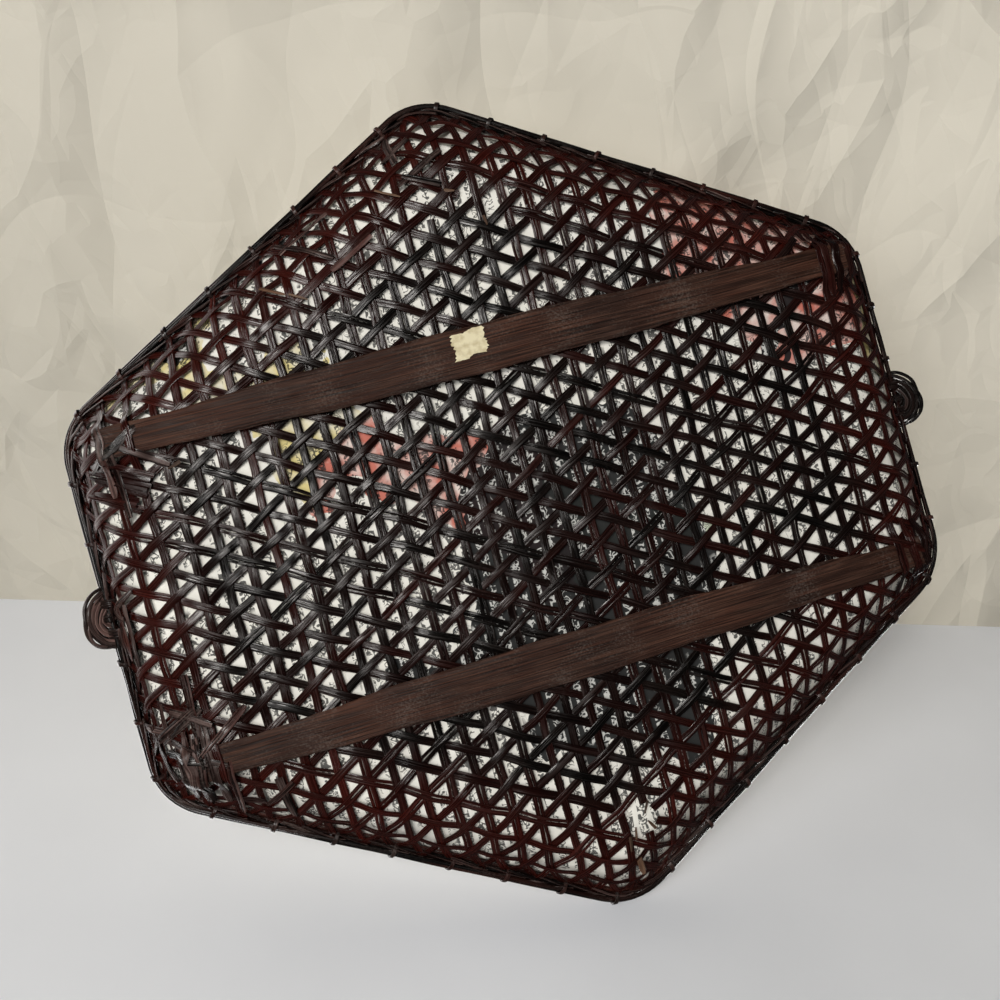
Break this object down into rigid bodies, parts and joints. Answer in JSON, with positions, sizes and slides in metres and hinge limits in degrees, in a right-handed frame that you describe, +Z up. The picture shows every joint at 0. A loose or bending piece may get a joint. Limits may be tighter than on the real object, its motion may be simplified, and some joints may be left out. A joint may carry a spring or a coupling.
{
  "type": "handled bamboo tray basket",
  "caption": "Shallow hexagonal tray basket of dark openwork bamboo strips, with cane-lashed rim hoops, small ear handles, flat bamboo foot slats and a loose paper lining.",
  "frame": {"origin": "on the surface it stands on, under the middle of the tray, midway between the two foot slats", "axes": "+Z up out of the tray's mouth, +X along the foot slats from handle to handle, +Y square to the slats"},
  "size_m": [0.4464, 0.419, 0.0411],
  "materials": {
    "weave_bamboo": "dark brown lacquer over split bamboo, glossy, worn at the edges",
    "rim_cane": "dark brown lacquered cane, satin",
    "lashing_cane": "dark brown lacquered cane, satin",
    "slat_bamboo": "matt reddish brown bamboo with lengthwise grain and dust",
    "lining_paper": null,
    "handle_cane": "brown lacquered cane, glossy"
  },
  "bodies": {
    "root": {"weave_strips_rising": "weave_bamboo", "weave_strips_across": "weave_bamboo", "weave_strips_falling": "weave_bamboo", "rim_outer_hoop": "rim_cane", "rim_inner_hoop": "rim_cane", "rim_lashing_01": "lashing_cane", "rim_lashing_02": "lashing_cane", "rim_lashing_03": "lashing_cane", "rim_lashing_04": "lashing_cane", "rim_lashing_05": "lashing_cane", "rim_lashing_06": "lashing_cane", "rim_lashing_07": "lashing_cane", "rim_lashing_08": "lashing_cane", "rim_lashing_09": "lashing_cane", "rim_lashing_10": "lashing_cane", "rim_lashing_11": "lashing_cane", "rim_lashing_12": "lashing_cane", "rim_lashing_13": "lashing_cane", "rim_lashing_14": "lashing_cane", "rim_lashing_15": "lashing_cane", "rim_lashing_16": "lashing_cane", "rim_lashing_17": "lashing_cane", "rim_lashing_18": "lashing_cane", "rim_lashing_19": "lashing_cane", "rim_lashing_20": "lashing_cane", "rim_lashing_21": "lashing_cane", "rim_lashing_22": "lashing_cane", "rim_lashing_23": "lashing_cane", "rim_lashing_24": "lashing_cane", "rim_lashing_25": "lashing_cane", "rim_lashing_26": "lashing_cane", "rim_lashing_27": "lashing_cane", "rim_lashing_28": "lashing_cane", "rim_lashing_29": "lashing_cane", "rim_lashing_30": "lashing_cane", "rim_lashing_31": "lashing_cane", "rim_lashing_32": "lashing_cane", "rim_lashing_33": "lashing_cane", "rim_lashing_34": "lashing_cane", "rim_lashing_35": "lashing_cane", "rim_lashing_36": "lashing_cane", "rim_lashing_37": "lashing_cane", "rim_lashing_38": "lashing_cane", "rim_lashing_39": "lashing_cane", "rim_lashing_40": "lashing_cane", "rim_lashing_41": "lashing_cane", "rim_lashing_42": "lashing_cane", "handle_right_tie_a": "lashing_cane", "handle_right_tie_b": "lashing_cane", "handle_left_tie_a": "lashing_cane", "handle_left_tie_b": "lashing_cane", "foot_slat_back": "slat_bamboo", "foot_slat_front": "slat_bamboo", "paper_lining": "lining_paper", "handle_right_outer_loop": "handle_cane", "handle_right_inner_loop": "handle_cane", "handle_left_outer_loop": "handle_cane", "handle_left_inner_loop": "handle_cane"}
  },
  "joints": []
}
